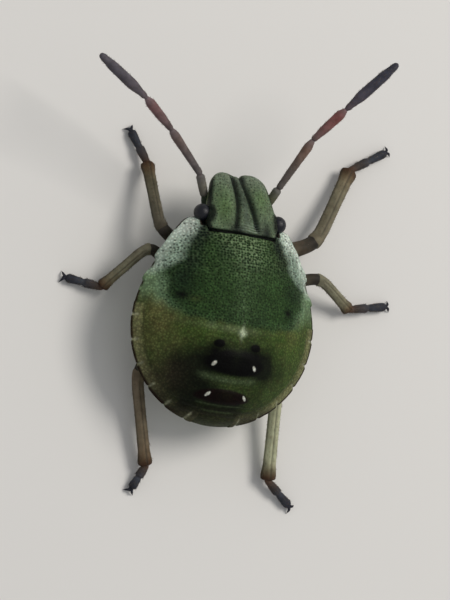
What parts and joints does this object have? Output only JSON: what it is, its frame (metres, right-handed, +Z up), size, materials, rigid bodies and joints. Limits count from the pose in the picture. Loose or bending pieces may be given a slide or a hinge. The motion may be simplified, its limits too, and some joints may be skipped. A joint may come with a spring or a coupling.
{
  "type": "shield bug nymph",
  "caption": "Life-size still model of a young shield bug standing on its legs, with a domed oval back and long jointed feelers.",
  "frame": {"origin": "on the floor, under the middle of the whole bug's box", "axes": "+Z up, +Y towards the head, +X to the bug's right"},
  "size_m": [0.0132, 0.0154, 0.0051],
  "materials": {
    "thorax_cuticle": "pitted insect cuticle, dark green, pale at the sides, low sheen",
    "abdomen_cuticle": "smooth insect cuticle, yellow green with black plates, low sheen",
    "belly_cuticle": "pale green insect cuticle, low sheen",
    "head_cuticle": "pitted grey green insect cuticle, low sheen",
    "eye": "blue black faceted eye, glossy",
    "feeler_olive": "olive brown cuticle with fine hairs",
    "feeler_brown": "dark red brown cuticle with fine hairs",
    "feeler_red": "red brown cuticle with fine hairs",
    "feeler_dark": "blue black cuticle with fine hairs",
    "leg_cuticle": "olive brown grooved cuticle with fine hairs",
    "foot_cuticle": "blue black cuticle with fine hairs"
  },
  "bodies": {
    "root": {"pronotum": "thorax_cuticle", "mesonotum": "thorax_cuticle", "thorax_underside": "belly_cuticle", "abdomen": "abdomen_cuticle", "head": "head_cuticle", "eye_left": "eye", "eye_right": "eye", "rostrum": "leg_cuticle", "antenna_left_1": "feeler_olive", "antenna_left_2": "feeler_brown", "antenna_left_3": "feeler_red", "antenna_left_4": "feeler_dark", "antenna_right_1": "feeler_olive", "antenna_right_2": "feeler_brown", "antenna_right_3": "feeler_red", "antenna_right_4": "feeler_dark", "femur_left_front": "leg_cuticle", "tibia_left_front": "leg_cuticle", "tarsus_left_front": "foot_cuticle", "femur_right_front": "leg_cuticle", "tibia_right_front": "leg_cuticle", "tarsus_right_front": "foot_cuticle", "femur_left_middle": "leg_cuticle", "tibia_left_middle": "leg_cuticle", "tarsus_left_middle": "foot_cuticle", "femur_right_middle": "leg_cuticle", "tibia_right_middle": "leg_cuticle", "tarsus_right_middle": "foot_cuticle", "femur_left_hind": "leg_cuticle", "tibia_left_hind": "leg_cuticle", "tarsus_left_hind": "foot_cuticle", "femur_right_hind": "leg_cuticle", "tibia_right_hind": "leg_cuticle", "tarsus_right_hind": "foot_cuticle"}
  },
  "joints": []
}
